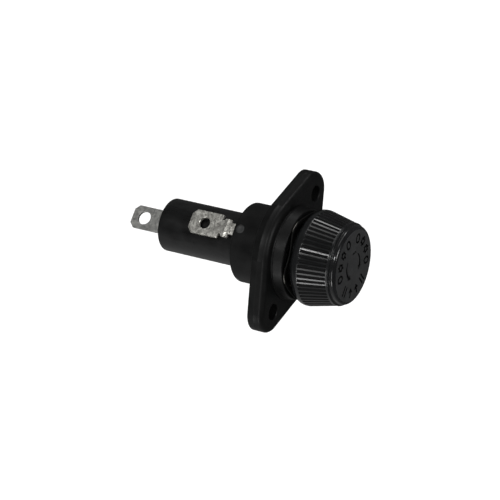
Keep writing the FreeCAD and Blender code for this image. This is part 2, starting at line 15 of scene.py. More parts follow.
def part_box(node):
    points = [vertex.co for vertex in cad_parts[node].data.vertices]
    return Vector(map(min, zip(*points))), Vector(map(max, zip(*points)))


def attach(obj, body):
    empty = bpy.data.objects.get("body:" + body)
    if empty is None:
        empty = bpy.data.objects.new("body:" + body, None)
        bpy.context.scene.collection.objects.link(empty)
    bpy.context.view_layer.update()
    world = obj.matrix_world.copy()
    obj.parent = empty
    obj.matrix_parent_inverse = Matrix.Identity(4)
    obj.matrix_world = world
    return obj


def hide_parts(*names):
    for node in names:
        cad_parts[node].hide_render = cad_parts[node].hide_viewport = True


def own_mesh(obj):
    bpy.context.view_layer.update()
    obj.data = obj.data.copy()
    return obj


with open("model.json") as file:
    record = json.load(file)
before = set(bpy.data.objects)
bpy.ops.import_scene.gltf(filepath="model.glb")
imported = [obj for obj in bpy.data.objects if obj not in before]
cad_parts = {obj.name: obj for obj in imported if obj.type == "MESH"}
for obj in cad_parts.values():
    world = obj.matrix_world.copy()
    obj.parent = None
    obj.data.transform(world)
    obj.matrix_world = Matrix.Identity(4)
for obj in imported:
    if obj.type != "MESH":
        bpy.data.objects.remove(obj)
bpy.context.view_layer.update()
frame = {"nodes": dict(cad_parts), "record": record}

MM = 0.001
FULL_TURN = 2 * math.pi


def node_box(node):
    """Lowest and highest corner of a CAD node, in millimetres."""
    low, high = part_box(node)
    return low / MM, high / MM


# ------------------------------------------------------------------ sizes read from the frame

HOUSING_LOW, HOUSING_HIGH = node_box("housing_body")
BARREL_LOW, BARREL_HIGH = node_box("rear_barrel")
KNOB_LOW, KNOB_HIGH = node_box("knob_cap")
SHELL_LOW, SHELL_HIGH = node_box("bayonet_shell")
LUG_LOW, LUG_HIGH = node_box("side_terminal")
BLADE_LOW, BLADE_HIGH = node_box("rear_terminal")
PLUNGER_LOW, PLUNGER_HIGH = node_box("contact_plunger")
COIL_LOW, COIL_HIGH = node_box("contact_spring")
WAVE_LOW, WAVE_HIGH = node_box("wave_spring")
TUBE_LOW, TUBE_HIGH = node_box("fuse_tube")
FRONT_CAP_LOW, FRONT_CAP_HIGH = node_box("fuse_cap_front")
REAR_CAP_LOW, REAR_CAP_HIGH = node_box("fuse_cap_rear")
STEM_FRONT = node_box("knob_stem")[0].y
RETAINER_FRONT = node_box("rear_retainer")[0].y
SEAT_REAR = node_box("spring_seat")[1].y
MOUNT_SIZES = {mount["name"]: mount["dims"] for mount in frame["record"]["mounts"]}

BELLY_RADIUS = HOUSING_HIGH.z
SCREW_REACH = MOUNT_SIZES["panel_screws"]["spacing_x_mm"] / 2
SCREW_RADIUS = MOUNT_SIZES["panel_screws"]["hole_r_mm"]
LOBE_RADIUS = HOUSING_HIGH.x - SCREW_REACH
SLEEVE_RADIUS = MOUNT_SIZES["panel_sleeve"]["r_mm"]
LUG_HOLE_RADIUS = MOUNT_SIZES["side_lug_hole"]["r_mm"]
BLADE_HOLE_RADIUS = MOUNT_SIZES["rear_blade_hole"]["r_mm"]
MOUTH_FLOOR = SHELL_LOW.y
SHELL_RADIUS = SHELL_HIGH.x
BARREL_RADIUS = BARREL_HIGH.x

# ------------------------------------------------------------------ sizes the frame's boxes don't give

METAL_THICK = 0.8
SHEET_EDGE = 0.1

FLANGE_THICK = 4.7
FLANGE_ROUND = 1.4
FLANGE_REAR_ROUND = 0.3
PARTING_LINE = -1.9
PARTING_STEP = 0.03
COLLAR_BASE_RADIUS = 12.9
COLLAR_FRONT_RADIUS = 12.45
MOUTH_RADIUS = 10.2
GATE_ALONG = 7.4
GATE_RADIUS = 1.25

SHELL_WALL = 0.5
SHELL_LIP_RADIUS = 7.6
SHELL_BORE_RADIUS = 9.35
SHELL_BORE_REAR = 7.15
NIB_ANGLES = [math.radians(90 + 120 * step) for step in range(3)]
NIB_HALF_WIDTH = 1.1
NIB_RADIUS = 7.5
NIB_FRONT = -5.4
NIB_REAR = -4.5
NIB_MIDDLE_RADIUS = 8.3

BARREL_BORE = 5.35
BARREL_RECESS_RADIUS = 5.2
PLUNGER_BORE = 5.6
PLUNGER_BORE_FRONT = 16.0
PLUNGER_BORE_REAR = SEAT_REAR + METAL_THICK

KNOB_MARK_DEPTH = 0.35
KNOB_RIM_ROUND = 2.0
KNOB_FRONT_RADIUS = 11.3
KNOB_FRONT = -20.9
KNOB_LEDGE_RADIUS = 10.85
KNOB_EDGE_ROUND = 0.9
KNOB_POCKET_RADIUS = 6.3
KNOB_POCKET_FLOOR = -18.95
KNOB_STEM_RADIUS = 8.32
KNOB_RECESS_RADIUS = 10.2
KNOB_RECESS_FLOOR = -11.6
FLUTE_COUNT = 60
FLUTE_REAR = -12.7
CONE_REAR = FLUTE_REAR + 0.1
FLUTE_FRONT = -20.3
FLUTE_RADIUS = 0.42
FLUTE_DEPTH = 0.34
FLUTE_MEAN_REACH = 12.4
FLUTE_RUN_OUT = 0.07

LUG_SLOT_HALF = 1.7
LUG_SLOT_LOW = 8.2
LUG_SLOT_HIGH = 9.18
LUG_NECK_HALF = 1.6
LUG_BAR_HALF = 2.6
LUG_WAIST_HALF = 1.95
LUG_PAD_HALF = 3.375
LUG_CORNER = 1.3
LUG_HOLE_ALONG = 19.5

BLADE_HALF_THICK = 0.4
BLADE_CORNER = 1.3
BLADE_HOLE_ALONG = 43.5


# ------------------------------------------------------------------ outlines and meshes


def arc_points(centre, radius, start, stop, count):
    """Points on an arc in a plane, both ends included."""
    return [(centre[0] + radius * math.cos(start + (stop - start) * step / count),
             centre[1] + radius * math.sin(start + (stop - start) * step / count))
            for step in range(count + 1)]


def rounded(corners, closed=True, pieces=5):
    """Plane corners (a, b, radius) turned into points, each corner eased by its radius."""
    points = []
    count = len(corners)
    for index, (a, b, radius) in enumerate(corners):
        here = Vector((a, b))
        inner = closed or 0 < index < count - 1
        if not radius or not inner:
            points.append((a, b))
            continue
        before = (Vector(corners[index - 1][:2]) - here).normalized()
        after = (Vector(corners[(index + 1) % count][:2]) - here).normalized()
        half = before.angle(after) / 2
        reach = radius / math.tan(half)
        centre = here + (before + after).normalized() * (radius / math.sin(half))
        start = here + before * reach - centre
        stop = here + after * reach - centre
        for step in range(pieces + 1):
            mixed = start.slerp(stop, step / pieces).normalized() * radius
            points.append(tuple(centre + mixed))
    return points


def new_object(name, verts, faces):
    """A smooth-shaded mesh object from points in millimetres."""
    mesh = bpy.data.meshes.new(name)
    mesh.from_pydata([Vector(v) * MM for v in verts], [], faces)
    mesh.validate()
    obj = bpy.data.objects.new(name, mesh)
    bpy.context.scene.collection.objects.link(obj)
    tidy_faces(obj)
    return obj


def tidy_faces(obj, sharp_degrees=38):
    """Merge doubled points, turn normals outward and shade smoothly between sharp creases."""
    work = bmesh.new()
    work.from_mesh(obj.data)
    bmesh.ops.remove_doubles(work, verts=work.verts, dist=2e-7)
    bmesh.ops.recalc_face_normals(work, faces=work.faces)
    work.to_mesh(obj.data)
    work.free()
    obj.data.shade_smooth()
    obj.data.set_sharp_from_angle(angle=math.radians(sharp_degrees))


def flatten(obj, normal, test):
    """Shade the polygons that face one way, and pass the test, without smoothing."""
    for polygon in obj.data.polygons:
        if polygon.normal.dot(normal) > 0.9999 and test(polygon.center / MM):
            polygon.use_smooth = False


def weight_normals(obj):
    """Let large faces decide the shading beside narrow rounded edges."""
    modifier = obj.modifiers.new("weighted_normals", "WEIGHTED_NORMAL")
    modifier.keep_sharp = True
    modifier.weight = 90
    return obj


def turned(name, profile, steps=160, start=0.0, sweep=FULL_TURN, closed=True, centre=(0, 0), depth=None):
    """Turn a plane profile of (radius, along Y) points about an axis parallel to Y.

    depth(row, along, angle) says how far the surface lies below the profile there.
    """
    whole = abs(sweep - FULL_TURN) < 1e-9
    turns = steps if whole else steps + 1
    verts = []
    rings = []
    for row, (radius, along) in enumerate(profile):
        if radius < 1e-6:
            rings.append([len(verts)] * turns)
            verts.append((centre[0], along, centre[1]))
            continue
        rings.append(list(range(len(verts), len(verts) + turns)))
        for step in range(turns):
            angle = start + sweep * step / steps
            reach = radius - depth(row, along, angle) if depth else radius
            verts.append((centre[0] + reach * math.cos(angle), along,
                          centre[1] + reach * math.sin(angle)))
    faces = []
    rows = len(rings) if closed else len(rings) - 1
    for row in range(rows):
        here = rings[row]
        after = rings[(row + 1) % len(rings)]
        for step in range(steps):
            ahead = (step + 1) % turns
            loop = [here[step], here[ahead], after[ahead], after[step]]
            loop = [v for i, v in enumerate(loop) if v != loop[i - 1]]
            if len(loop) > 2:
                faces.append(loop)
    if not whole:
        faces.append([ring[0] for ring in rings])
        faces.append([ring[-1] for ring in reversed(rings)])
    return new_object(name, verts, faces)


def lofted(name, rings, capped=False):
    """Join rings with the same number of points; the last joins the first unless both are capped."""
    count = len(rings[0])
    verts = [point for ring in rings for point in ring]
    faces = []
    if capped:
        faces += [list(range(count)), list(range(len(verts) - 1, len(verts) - 1 - count, -1))]
    for row in range(len(rings) - 1 if capped else len(rings)):
        here = row * count
        after = (row + 1) % len(rings) * count
        for step in range(count):
            ahead = (step + 1) % count
            faces.append([here + step, here + ahead, after + ahead, after + step])
    return new_object(name, verts, faces)


def slab(name, outline, holes, low, high, plane="XY", edge=0.08):
    """A flat plate with eased edges: outline and holes are lists of plane points."""
    curve = bpy.data.curves.new(name, "CURVE")
    curve.dimensions = "2D"
    curve.fill_mode = "BOTH"
    curve.extrude = max((high - low) / 2 - edge, 1e-4) * MM
    curve.bevel_depth = edge * MM
    curve.offset = -edge * MM
    curve.bevel_resolution = 2
    for points in [outline] + holes:
        spline = curve.splines.new("POLY")
        spline.points.add(len(points) - 1)
        spline.use_cyclic_u = True
        for point, (a, b) in zip(spline.points, points):
            point.co = (a * MM, b * MM, 0, 1)
    holder = bpy.data.objects.new(name + "_curve", curve)
    bpy.context.scene.collection.objects.link(holder)
    graph = bpy.context.evaluated_depsgraph_get()
    mesh = bpy.data.meshes.new_from_object(holder.evaluated_get(graph))
    bpy.data.objects.remove(holder)
    middle = (low + high) / 2 * MM
    if plane == "XY":
        mesh.transform(Matrix.Translation((0, 0, middle)))
    else:
        mesh.transform(Matrix.Translation((0, middle, 0)) @ Matrix.Rotation(math.pi / 2, 4, "X"))
    mesh.name = name
    obj = bpy.data.objects.new(name, mesh)
    bpy.context.scene.collection.objects.link(obj)
    tidy_faces(obj)
    return obj


def block(name, low, high):
    """A plain box, used only to cut with."""
    corners = [(x, y, z) for x in (low[0], high[0])
               for y in (low[1], high[1])
               for z in (low[2], high[2])]
    faces = [(0, 1, 3, 2), (4, 6, 7, 5), (0, 4, 5, 1), (2, 3, 7, 6), (0, 2, 6, 4), (1, 5, 7, 3)]
    return new_object(name, corners, faces)


def combine(obj, others, operation="DIFFERENCE"):
    """Cut the others out of obj, or join them to it, and remove them."""
    for other in others:
        modifier = obj.modifiers.new("combine", "BOOLEAN")
        modifier.operation = operation
        modifier.solver = "MANIFOLD"
        modifier.object = other
    graph = bpy.context.evaluated_depsgraph_get()
    mesh = bpy.data.meshes.new_from_object(obj.evaluated_get(graph))
    obj.modifiers.clear()
    obj.data = mesh
    mesh.name = obj.name
    for other in others:
        bpy.data.objects.remove(other)
    tidy_faces(obj)
    return obj


def turn_up(cutter, middle):
    """Stand a cutter turned about Y upright, along Z, and move it to a place in millimetres."""
    cutter.data.transform(Matrix.Translation(Vector(middle) * MM) @ Matrix.Rotation(math.pi / 2, 4, "X"))


def place(obj, body, slot, *nodes):
    """Hand a finished piece to the frame."""
    weight_normals(obj)
    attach(obj, body)
    if nodes:
        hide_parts(*nodes)
    return obj


# ------------------------------------------------------------------ materials


class Look:
    """A Principled material whose patterns are measured in the piece's own millimetres."""

    def __init__(self, name, colour, roughness, metallic=0.0, specular=0.5):
        self.material = bpy.data.materials.new(name)
        self.material.use_nodes = True
        self.tree = self.material.node_tree
        self.shader = self.tree.nodes["Principled BSDF"]
        self.shader.inputs["Base Color"].default_value = (*colour, 1)
        self.shader.inputs["Roughness"].default_value = roughness
        self.shader.inputs["Metallic"].default_value = metallic
        self.shader.inputs["Specular IOR Level"].default_value = specular
        self.where = self.add("ShaderNodeTexCoord").outputs["Object"]
        self.bump_normal = None

    def add(self, kind, **settings):
        node = self.tree.nodes.new(kind)
        for key, value in settings.items():
            if key in node.inputs:
                node.inputs[key].default_value = value
            else:
                setattr(node, key, value)
        return node

    def link(self, output, socket):
        self.tree.links.new(output, socket)

    def spread(self, stretch=(1, 1, 1)):
        """The piece's own coordinates in millimetres, stretched along an axis if asked."""
        scale = self.add("ShaderNodeMapping")
        scale.inputs["Scale"].default_value = [1 / MM * part for part in stretch]
        self.link(self.where, scale.inputs["Vector"])
        return scale.outputs["Vector"]

    def noise(self, size, detail=3.0, stretch=(1, 1, 1), rough=0.55):
        """Soft noise whose lumps are about size millimetres."""
        node = self.add("ShaderNodeTexNoise", Scale=1 / size, Detail=detail, Roughness=rough)
        self.link(self.spread(stretch), node.inputs["Vector"])
        return node.outputs["Fac"]

    def grains(self, size, stretch=(1, 1, 1)):
        """A different grey in each cell of about size millimetres."""
        node = self.add("ShaderNodeTexVoronoi", Scale=1 / size)
        self.link(self.spread(stretch), node.inputs["Vector"])
        split = self.add("ShaderNodeSeparateColor")
        self.link(node.outputs["Color"], split.inputs["Color"])
        return split.outputs["Red"]

    def remap(self, value, low, high, to_low, to_high):
        node = self.add("ShaderNodeMapRange")
        for socket, number in (("From Min", low), ("From Max", high),
                               ("To Min", to_low), ("To Max", to_high)):
            node.inputs[socket].default_value = number
        self.link(value, node.inputs["Value"])
        return node.outputs["Result"]

    def maths(self, operation, first, second):
        node = self.add("ShaderNodeMath", operation=operation)
        for socket, value in zip(node.inputs, (first, second)):
            if isinstance(value, (int, float)):
                socket.default_value = value
            else:
                self.link(value, socket)
        return node.outputs["Value"]

    def mix(self, amount, first, second):
        """Colour that goes from first to second; each is a colour or an output."""
        node = self.add("ShaderNodeMix", data_type="RGBA")
        colours = [socket for socket in node.inputs if socket.type == "RGBA"]
        self.link(amount, node.inputs["Factor"])
        for socket, value in zip(colours, (first, second)):
            if isinstance(value, tuple):
                socket.default_value = (*value, 1)
            else:
                self.link(value, socket)
        return next(socket for socket in node.outputs if socket.type == "RGBA")

    def colour(self, output):
        self.link(output, self.shader.inputs["Base Color"])

    def roughness(self, output):
        self.link(output, self.shader.inputs["Roughness"])

    def bump(self, height, depth, strength=1.0):
        """Add relief, depth in millimetres."""
        node = self.add("ShaderNodeBump", Strength=strength, Distance=depth * MM)
        self.link(height, node.inputs["Height"])
        if self.bump_normal is not None:
            self.link(self.bump_normal, node.inputs["Normal"])
        self.bump_normal = node.outputs["Normal"]
        self.link(self.bump_normal, self.shader.inputs["Normal"])


def moulding(name, colour, roughness, worn, relief=0.012, specular=0.5):
    """Black moulded phenolic: cloudy gloss, faint flow marks, scuffs and a fine grain."""
    look = Look(name, colour, roughness, specular=specular)
    cloud = look.noise(4.0, 4.0)
    flow = look.noise(0.9, 5.0, (1, 0.25, 1))
    fine = look.noise(0.14, 2.0)
    base = look.mix(look.remap(cloud, 0.35, 0.65, 0.0, 1.0), colour, worn)
    scuffs = look.maths("MULTIPLY", look.remap(flow, 0.6, 0.72, 0.0, 1.0),
                        look.remap(cloud, 0.5, 0.65, 0.0, 0.3))
    pale = tuple(part * 1.6 + 0.004 for part in worn)
    look.colour(look.mix(scuffs, base, pale))
    mixed = look.maths("ADD", look.maths("MULTIPLY", cloud, 0.5), look.maths("MULTIPLY", flow, 0.5))
    look.roughness(look.remap(mixed, 0.3, 0.7, roughness * 0.8, roughness * 1.25))
    look.bump(fine, relief, 0.35)
    look.bump(flow, relief * 2.5, 0.25)
    return look.material


def plated(name, colour, dark, roughness, grain=0.35, stretch=(1, 1, 1), scratch=0.5, metallic=1.0):
    """Plated sheet metal: crystal-like mottling, rolling marks, scratches and dull patches."""
    look = Look(name, colour, roughness, metallic=metallic)
    cells = look.grains(grain, stretch)
    cloud = look.noise(1.8, 4.0)
    lines = look.noise(0.09, 2.0, (1.0, 0.06, 1.0))
    tone = look.maths("MULTIPLY", look.remap(cells, 0.0, 1.0, 0.2, 1.0),
                      look.remap(cloud, 0.3, 0.7, 0.4, 1.2))
    look.colour(look.mix(tone, dark, colour))
    look.roughness(look.remap(look.maths("ADD", cells, cloud), 0.3, 1.5, roughness * 0.75, roughness * 1.35))
    look.bump(cells, 0.01, 0.3)
    look.bump(lines, 0.012, scratch)
    return look.material


def soft_fibre(name, colour, darker, roughness=0.6):
    """Pressed fibre or packed grains: speckled, matt and slightly uneven."""
    look = Look(name, colour, roughness)
    specks = look.grains(0.22)
    cloud = look.noise(2.5, 4.0)
    tone = look.maths("MULTIPLY", specks, cloud)
    look.colour(look.mix(look.remap(tone, 0.05, 0.5, 0.0, 1.0), darker, colour))
    look.roughness(look.remap(cloud, 0.3, 0.7, roughness * 0.85, roughness * 1.1))
    look.bump(specks, 0.02, 0.25)
    return look.material


def painted_shade_glint_spring_steel(name, front, rear):
    """Spring steel whose near-black colour is partly a blackened finish and partly painted shade of the gap
    between collar and knob, with painted glints: bright worn metal where the wave's rear crests bear on the
    collar.
    """
    look = Look(name, (0.02, 0.02, 0.02), 0.6, specular=0.06)
    split = look.add("ShaderNodeSeparateXYZ")
    look.link(look.spread(), split.inputs["Vector"])
    # Painted glints: this crest mask turns the steel bright and metallic only near the rear crests.
    crest = look.remap(split.outputs["Y"], rear - 0.13 * (rear - front), rear - 0.02, 0.0, 1.0)
    cloud = look.noise(0.8, 4.0)
    worn_and_glint = look.maths("MULTIPLY", crest, look.remap(cloud, 0.4, 0.6, 0.5, 1.0))
    # Near-black base: a blackened finish, darkened further as painted shade of the gap.
    base = look.mix(cloud, (0.003, 0.003, 0.003), (0.008, 0.008, 0.0075))
    look.colour(look.mix(worn_and_glint, base, (0.8, 0.77, 0.7)))
    look.link(worn_and_glint, look.shader.inputs["Metallic"])
    look.roughness(look.remap(worn_and_glint, 0.0, 1.0, 0.7, 0.34))
    look.bump(look.noise(0.1, 2.0, (1.0, 0.3, 1.0)), 0.01, 0.4)
    return look.material


def make_materials():
    """Every finish by name; the moulded ones give colour, roughness, worn colour and relief."""
    finishes = {}

    def add(make, name, *values, **settings):
        finishes[name] = make(name, *values, **settings)

    add(moulding, "housing_moulding", (0.002, 0.0021, 0.0021), 0.42, (0.0038, 0.004, 0.004), 0.006,
        specular=0.2)
    add(moulding, "barrel_moulding", (0.0014, 0.0015, 0.0016), 0.3, (0.003, 0.0032, 0.0033), 0.004)
    add(moulding, "knob_moulding", (0.004, 0.0042, 0.0044), 0.17, (0.006, 0.0064, 0.0068), 0.002)
    # Groove finish, also used in the engraved marks: darker than the knob, as painted shade in the recesses.
    add(moulding, "knob_groove", (0.0015, 0.0016, 0.0017), 0.6, (0.003, 0.0031, 0.0032), 0.002,
        specular=0.15)
    add(moulding, "gate_scar", (0.014, 0.0143, 0.0146), 0.5, (0.024, 0.0248, 0.025), 0.03)
    # Knob face: a matte finish whose lighter tone is a painted sheen from facing the light.
    add(moulding, "knob_face", (0.017, 0.0175, 0.018), 0.5, (0.021, 0.0215, 0.022), 0.008, specular=0.4)
    add(moulding, "stem_moulding", (0.006, 0.006, 0.0065), 0.4, (0.01, 0.01, 0.0105))
    add(plated, "tinned_brass", (0.86, 0.85, 0.79), (0.36, 0.35, 0.32), 0.32, 0.45, scratch=0.8,
        metallic=0.86)
    add(plated, "tinned_brass_dull", (0.62, 0.62, 0.59), (0.34, 0.34, 0.33), 0.46, 0.5)
    add(plated, "plated_brass", (0.74, 0.7, 0.58), (0.5, 0.45, 0.34), 0.3, 0.6)
    add(plated, "spring_steel", (0.6, 0.6, 0.6), (0.38, 0.38, 0.39), 0.3, 0.8)
    # Wave spring: painted shade of the gap and painted glints on its rear crests.
    add(painted_shade_glint_spring_steel, "dark_spring_steel", WAVE_LOW.y, WAVE_HIGH.y)
    add(plated, "clip_bronze", (0.78, 0.52, 0.32), (0.5, 0.3, 0.17), 0.32, 0.5)
    add(plated, "fuse_cap_metal", (0.78, 0.75, 0.68), (0.6, 0.57, 0.5), 0.22, 1.2)
    add(plated, "fuse_link", (0.85, 0.84, 0.82), (0.6, 0.58, 0.55), 0.3, 0.4)
    add(soft_fibre, "fuse_tube_fibre", (0.8, 0.76, 0.62), (0.62, 0.57, 0.44), 0.45)
    add(soft_fibre, "fuse_disc_fibre", (0.5, 0.44, 0.33), (0.34, 0.29, 0.21), 0.7)
    add(soft_fibre, "quartz_filler", (0.78, 0.74, 0.66), (0.5, 0.46, 0.38), 0.8)
    return finishes


MATERIALS = make_materials()


def paint(obj, *names):
    """Give a piece its finishes, in the order of their material slots."""
    obj.data.materials.clear()
    for name in names:
        obj.data.materials.append(MATERIALS[name])
    return obj


# ------------------------------------------------------------------ housing


def flange_outline():
    """Points round the flange with their outward normals, as (x, z, normal x, normal z)."""
    lean = math.acos((BELLY_RADIUS - LOBE_RADIUS) / SCREW_REACH)
    arcs = [(0, BELLY_RADIUS, lean, math.pi - lean, 60),
            (-SCREW_REACH, LOBE_RADIUS, math.pi - lean, math.pi + lean, 36),
            (0, BELLY_RADIUS, math.pi + lean, 2 * math.pi - lean, 60),
            (SCREW_REACH, LOBE_RADIUS, -lean, lean, 36)]
    straight_pieces = 30
    points = []
    for index, (middle, radius, start, stop, count) in enumerate(arcs):
        for step in range(count + 1):
            angle = start + (stop - start) * step / count
            normal = (math.cos(angle), math.sin(angle))
            points.append((middle + radius * normal[0], radius * normal[1], *normal))
        after = arcs[(index + 1) % len(arcs)]
        last = points[-1]
        target = (after[0] + after[1] * math.cos(after[2]), after[1] * math.sin(after[2]))
        for step in range(1, straight_pieces):
            share = step / straight_pieces
            points.append((last[0] + (target[0] - last[0]) * share,
                           last[1] + (target[1] - last[1]) * share, last[2], last[3]))
    return points


def make_housing():
    """Flange, collar and sleeve as one moulding, with screw holes, the lug's slot and a gate scar."""
    outline = flange_outline()

    def circle(radius, along):
        return [(radius * x / math.hypot(x, z), along, radius * z / math.hypot(x, z))
                for x, z, _, _ in outline]

    def inset(depth, along):
        return [(x - depth * nx, along, z - depth * nz) for x, z, nx, nz in outline]

    front = HOUSING_LOW.y
    rear = HOUSING_HIGH.y
    hollow = rounded([
        (SHELL_BORE_RADIUS, SHELL_BORE_REAR, 0),
        (SHELL_BORE_RADIUS, MOUTH_FLOOR, 0),
        (MOUTH_RADIUS, MOUTH_FLOOR, 0.15),
        (MOUTH_RADIUS, front, 0.3),
        (COLLAR_FRONT_RADIUS, front, 0.35),
        (COLLAR_BASE_RADIUS - 0.1, -FLANGE_THICK - 0.45, 0.1),
        (COLLAR_BASE_RADIUS + 0.12, -FLANGE_THICK - 0.38, 0.12),
        (COLLAR_BASE_RADIUS + 0.16, -FLANGE_THICK, 0)], closed=False)
    rings = [circle(*point) for point in hollow]
    edge_steps = 8
    for step in range(edge_steps + 1):
        angle = math.pi / 2 * step / edge_steps
        rings.append(inset(FLANGE_ROUND * (1 - math.sin(angle)),
                           -FLANGE_THICK + FLANGE_ROUND * (1 - math.cos(angle))))
    for depth, offset in ((PARTING_STEP, -0.12), (0.0, -0.05), (0.0, 0.05), (PARTING_STEP, 0.12)):
        rings.append(inset(depth, PARTING_LINE + offset))
    rear_steps = 4
    for step in range(rear_steps + 1):
        angle = math.pi / 2 * step / rear_steps
        rings.append(inset(PARTING_STEP + FLANGE_REAR_ROUND * (1 - math.cos(angle)),
                           -FLANGE_REAR_ROUND * (1 - math.sin(angle))))
    behind = rounded([
        (SLEEVE_RADIUS + 0.5, 0, 0),
        (SLEEVE_RADIUS, 0, 0.15),
        (SLEEVE_RADIUS, rear, 0.45),
        (BARREL_RADIUS + 0.02, rear, 0.08),
        (BARREL_RADIUS + 0.02, SHELL_BORE_REAR, 0)], closed=False)
    rings += [circle(*point) for point in behind[1:]]
    body = lofted("housing_moulding", rings)
    cutters = []
    for side in (-1, 1):
        flare = 0.12
        cutters.append(turned("screw_cutter", [
            (0, -FLANGE_THICK - 1), (SCREW_RADIUS + flare, -FLANGE_THICK - 1),
            (SCREW_RADIUS + flare, -FLANGE_THICK), (SCREW_RADIUS, -FLANGE_THICK + flare),
            (SCREW_RADIUS, -flare), (SCREW_RADIUS + flare, 0), (SCREW_RADIUS + flare, 1), (0, 1)],
            steps=64, closed=False, centre=(side * SCREW_REACH, 0)))
    cutters.append(block("lug_slot_cutter", (-LUG_SLOT_HALF, SHELL_BORE_REAR - 1, LUG_SLOT_LOW),
                         (LUG_SLOT_HALF, rear + 1, LUG_SLOT_HIGH)))
    gate = turned("gate_cutter", [
        (0, -0.2), (0.62, -0.2), (0.78, -0.1), (0.92, -0.1), (1.1, -0.24), (GATE_RADIUS, -0.1),
        (GATE_RADIUS, 1.0), (0, 1.0)], steps=48, closed=False)
    turn_up(gate, (0, GATE_ALONG, SLEEVE_RADIUS))
    cutters.append(gate)
    combine(body, cutters)
    flatten(body, Vector((0, -1, 0)), lambda centre: abs(centre.y + FLANGE_THICK) < 0.01)
    flatten(body, Vector((0, 1, 0)), lambda centre: abs(centre.y) < 0.01)
    paint(body, "housing_moulding", "gate_scar")
    for polygon in body.data.polygons:
        centre = polygon.center / MM
        in_ring = math.hypot(centre.x, centre.y - GATE_ALONG) < GATE_RADIUS - 0.03
        sunk = SLEEVE_RADIUS - 0.3 < centre.z < SLEEVE_RADIUS - 0.005
        polygon.material_index = 1 if in_ring and sunk else 0
    place(body, "housing", "housing_moulding", "housing_body")


def make_barrel():
    """Tube behind the sleeve, with the plunger's bore, the rear recess and the blade's slot."""
    front = BARREL_LOW.y
    rear = BARREL_HIGH.y
    body = turned("barrel_moulding", rounded([
        (BARREL_BORE + 0.6, front, 0.1),
        (BARREL_RADIUS, front, 0.3),
        (BARREL_RADIUS, rear, 0.6),
        (BARREL_RECESS_RADIUS, rear, 0.25),
        (BARREL_RECESS_RADIUS, RETAINER_FRONT, 0.1),
        (0, RETAINER_FRONT, 0),
        (0, PLUNGER_BORE_REAR, 0),
        (PLUNGER_BORE, PLUNGER_BORE_REAR, 0.1),
        (PLUNGER_BORE, PLUNGER_BORE_FRONT, 0),
        (BARREL_BORE, PLUNGER_BORE_FRONT, 0.1),
        (BARREL_BORE, front + 0.6, 0.1)]))
    half = BLADE_HIGH.x + 0.05
    slot = BLADE_HALF_THICK + 0.05
    combine(body, [block("blade_cutter", (-half, PLUNGER_BORE_REAR - 1, -slot), (half, rear + 1, slot))])
    paint(body, "barrel_moulding")
    place(body, "housing", "barrel_moulding", "rear_barrel")


# ------------------------------------------------------------------ knob


def flute_depth_at(angle, share):
    """How deep the knob's surface lies under its cone at this angle; share runs 0 to 1 down a flute."""
    pitch = FULL_TURN / FLUTE_COUNT
    across = ((angle / pitch + 0.5) % 1.0 - 0.5) * pitch * FLUTE_MEAN_REACH
    half_width = math.sqrt(FLUTE_RADIUS ** 2 - (FLUTE_RADIUS - FLUTE_DEPTH) ** 2)
    if abs(across) >= half_width or not 0 <= share <= 1:
        return 0.0
    groove = math.sqrt(FLUTE_RADIUS ** 2 - across ** 2) - (FLUTE_RADIUS - FLUTE_DEPTH)
    ends = min(1.0, share / FLUTE_RUN_OUT, (1 - share) / FLUTE_RUN_OUT)
    return groove * math.sqrt(max(0.0, 1 - (1 - ends) ** 2))


def knob_radius(along):
    """Radius of the knob's cone at the lands between its flutes."""
    share = (CONE_REAR - along) / (CONE_REAR - KNOB_FRONT)
    return KNOB_HIGH.x + (KNOB_FRONT_RADIUS - KNOB_HIGH.x) * share


